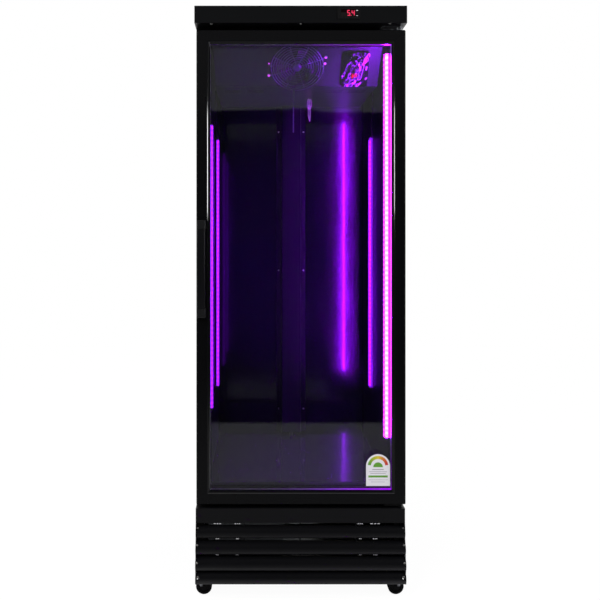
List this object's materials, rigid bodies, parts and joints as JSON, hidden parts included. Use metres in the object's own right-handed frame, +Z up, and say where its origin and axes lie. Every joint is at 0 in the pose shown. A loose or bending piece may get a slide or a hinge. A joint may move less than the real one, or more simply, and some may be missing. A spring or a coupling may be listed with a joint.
{
  "type": "upright glass door display cooler",
  "caption": "Upright insulated cabinet with a hinged glass door, a fan coil under its ceiling, violet lamp strips, a louvred machine bay and swivel casters.",
  "frame": {"origin": "floor under the middle of the overall box", "axes": "+Z up, the door faces -Y, +X towards the hinge side"},
  "size_m": [0.655, 0.686, 1.835],
  "materials": {
    "black_steel": "gloss black powder coat",
    "foam": "rigid foam",
    "liner": "gloss black sheet, slightly wavy",
    "throat_plastic": "satin moulded",
    "zinc_steel": "zinc plated",
    "black_enamel": "semi-gloss enamel",
    "coil_metal": "thin fins",
    "motor_metal": "semi-gloss",
    "fan_plastic": "moulded",
    "tray_plastic": "moulded",
    "copper": "drawn copper tube",
    "grille_plastic": "satin moulded, blue-black",
    "controller_plastic": "fine grain",
    "display_lens": "dark lens with red figures",
    "cover_metal": "gloss dark grey paint",
    "guard_wire": "coated wire",
    "plate_plastic": "gloss moulded",
    "knob_plastic": "gloss moulded",
    "rocker_red": "red translucent moulded",
    "lead_rubber": "smooth sheath",
    "lamp_aluminium": "anodised",
    "lamp_diffuser": "clear cover over violet diodes",
    "screw_steel": "zinc plated",
    "door_aluminium": "black anodised",
    "door_glass": "float glass",
    "gasket_rubber": "soft extruded",
    "handle_plastic": "satin moulded",
    "wheel_rubber": "hard rubber"
  },
  "bodies": {
    "cabinet": {"side_panels": "black_steel", "back_panel": "black_steel", "roof_panel": "black_steel", "header_panel": "black_steel", "rear_cover": "black_steel", "foam_core": "foam", "liner_sides": "liner", "liner_back": "liner", "liner_floor": "liner", "liner_ceiling": "liner", "breaker_frame": "throat_plastic", "chassis": "zinc_steel", "top_hinge_bracket": "zinc_steel", "bottom_hinge_bracket": "zinc_steel", "caster_stems": "zinc_steel", "condenser_shroud": "zinc_steel", "compressor": "black_enamel", "condenser_coil": "coil_metal", "evaporator_coil": "coil_metal", "condenser_fan_motor": "motor_metal", "evaporator_fan_motor": "motor_metal", "drip_tray": "tray_plastic", "drain_tube": "tray_plastic", "cord_gland": "tray_plastic", "refrigerant_pipes": "copper", "front_grille": "grille_plastic", "controller_housing": "controller_plastic", "controller_window": "display_lens", "evaporator_cover": "cover_metal", "duct_cover": "cover_metal", "fan_guard": "guard_wire", "control_plate": "plate_plastic", "probe_lead": "lead_rubber", "lamp_leads": "lead_rubber", "lamp_channels": "lamp_aluminium", "lamp_diffusers": "lamp_diffuser", "panel_screws": "screw_steel"},
    "door": {"door_stiles": "door_aluminium", "door_rails": "door_aluminium", "glass_outer": "door_glass", "glass_inner": "door_glass", "glass_spacer": "door_aluminium", "door_gasket": "gasket_rubber", "handle_grip": "handle_plastic", "handle_mounts": "handle_plastic", "pivot_bushes": "tray_plastic"},
    "thermostat_dial": {"thermostat_knob": "knob_plastic"},
    "rocker": {"rocker_switch": "rocker_red"},
    "button_up": {"controller_button_up": "controller_plastic"},
    "button_down": {"controller_button_down": "controller_plastic"},
    "cabin_fan": {"evaporator_fan": "fan_plastic"},
    "bay_fan": {"condenser_fan": "fan_plastic"},
    "fork_front_left": {"caster_fork_front_left": "zinc_steel"},
    "wheel_front_left": {"caster_wheel_front_left": "wheel_rubber"},
    "fork_front_right": {"caster_fork_front_right": "zinc_steel"},
    "wheel_front_right": {"caster_wheel_front_right": "wheel_rubber"},
    "fork_rear_left": {"caster_fork_rear_left": "zinc_steel"},
    "wheel_rear_left": {"caster_wheel_rear_left": "wheel_rubber"},
    "fork_rear_right": {"caster_fork_rear_right": "zinc_steel"},
    "wheel_rear_right": {"caster_wheel_rear_right": "wheel_rubber"}
  },
  "joints": [
    {"name": "door_hinge", "type": "hinge", "parent": "cabinet", "child": "door", "pos_m": [0.31, -0.287, 1.029], "axis": [0, 0, 1], "range_deg": [0, 110]},
    {"name": "knob_turn", "type": "hinge", "parent": "cabinet", "child": "thermostat_dial", "pos_m": [0.1935, -0.15549, 1.71018], "axis": [0, -0.7071, -0.7071], "range_deg": [0, 270]},
    {"name": "rocker_tilt", "type": "hinge", "parent": "cabinet", "child": "rocker", "pos_m": [0.1935, -0.11306, 1.67341], "axis": [0, -0.7071, 0.7071], "range_deg": [-20, 0]},
    {"name": "button_up_press", "type": "slide", "parent": "cabinet", "child": "button_up", "axis": [0, 1, 0], "range_m": [0, 0.0008], "stiffness_N_per_m": 400},
    {"name": "button_down_press", "type": "slide", "parent": "cabinet", "child": "button_down", "axis": [0, 1, 0], "range_m": [0, 0.0008], "stiffness_N_per_m": 400},
    {"name": "cabin_fan_spin", "type": "hinge", "parent": "cabinet", "child": "cabin_fan", "pos_m": [0, -0.12721, 1.7031], "axis": [0, -0.7071, -0.7071], "continuous": true},
    {"name": "bay_fan_spin", "type": "hinge", "parent": "cabinet", "child": "bay_fan", "pos_m": [-0.1703, -0.175, 0.158], "axis": [0, 1, 0], "continuous": true},
    {"name": "swivel_front_left", "type": "hinge", "parent": "cabinet", "child": "fork_front_left", "pos_m": [-0.3115, -0.272, 0.055], "axis": [0, 0, 1], "continuous": true},
    {"name": "roll_front_left", "type": "hinge", "parent": "fork_front_left", "child": "wheel_front_left", "pos_m": [-0.3015, -0.272, 0.025], "axis": [0, 1, 0], "continuous": true},
    {"name": "swivel_front_right", "type": "hinge", "parent": "cabinet", "child": "fork_front_right", "pos_m": [0.3115, -0.272, 0.055], "axis": [0, 0, 1], "continuous": true},
    {"name": "roll_front_right", "type": "hinge", "parent": "fork_front_right", "child": "wheel_front_right", "pos_m": [0.3015, -0.272, 0.025], "axis": [0, 1, 0], "continuous": true},
    {"name": "swivel_rear_left", "type": "hinge", "parent": "cabinet", "child": "fork_rear_left", "pos_m": [-0.3115, 0.308, 0.055], "axis": [0, 0, 1], "continuous": true},
    {"name": "roll_rear_left", "type": "hinge", "parent": "fork_rear_left", "child": "wheel_rear_left", "pos_m": [-0.3015, 0.308, 0.025], "axis": [0, 1, 0], "continuous": true},
    {"name": "swivel_rear_right", "type": "hinge", "parent": "cabinet", "child": "fork_rear_right", "pos_m": [0.3115, 0.308, 0.055], "axis": [0, 0, 1], "continuous": true},
    {"name": "roll_rear_right", "type": "hinge", "parent": "fork_rear_right", "child": "wheel_rear_right", "pos_m": [0.3015, 0.308, 0.025], "axis": [0, 1, 0], "continuous": true}
  ]
}
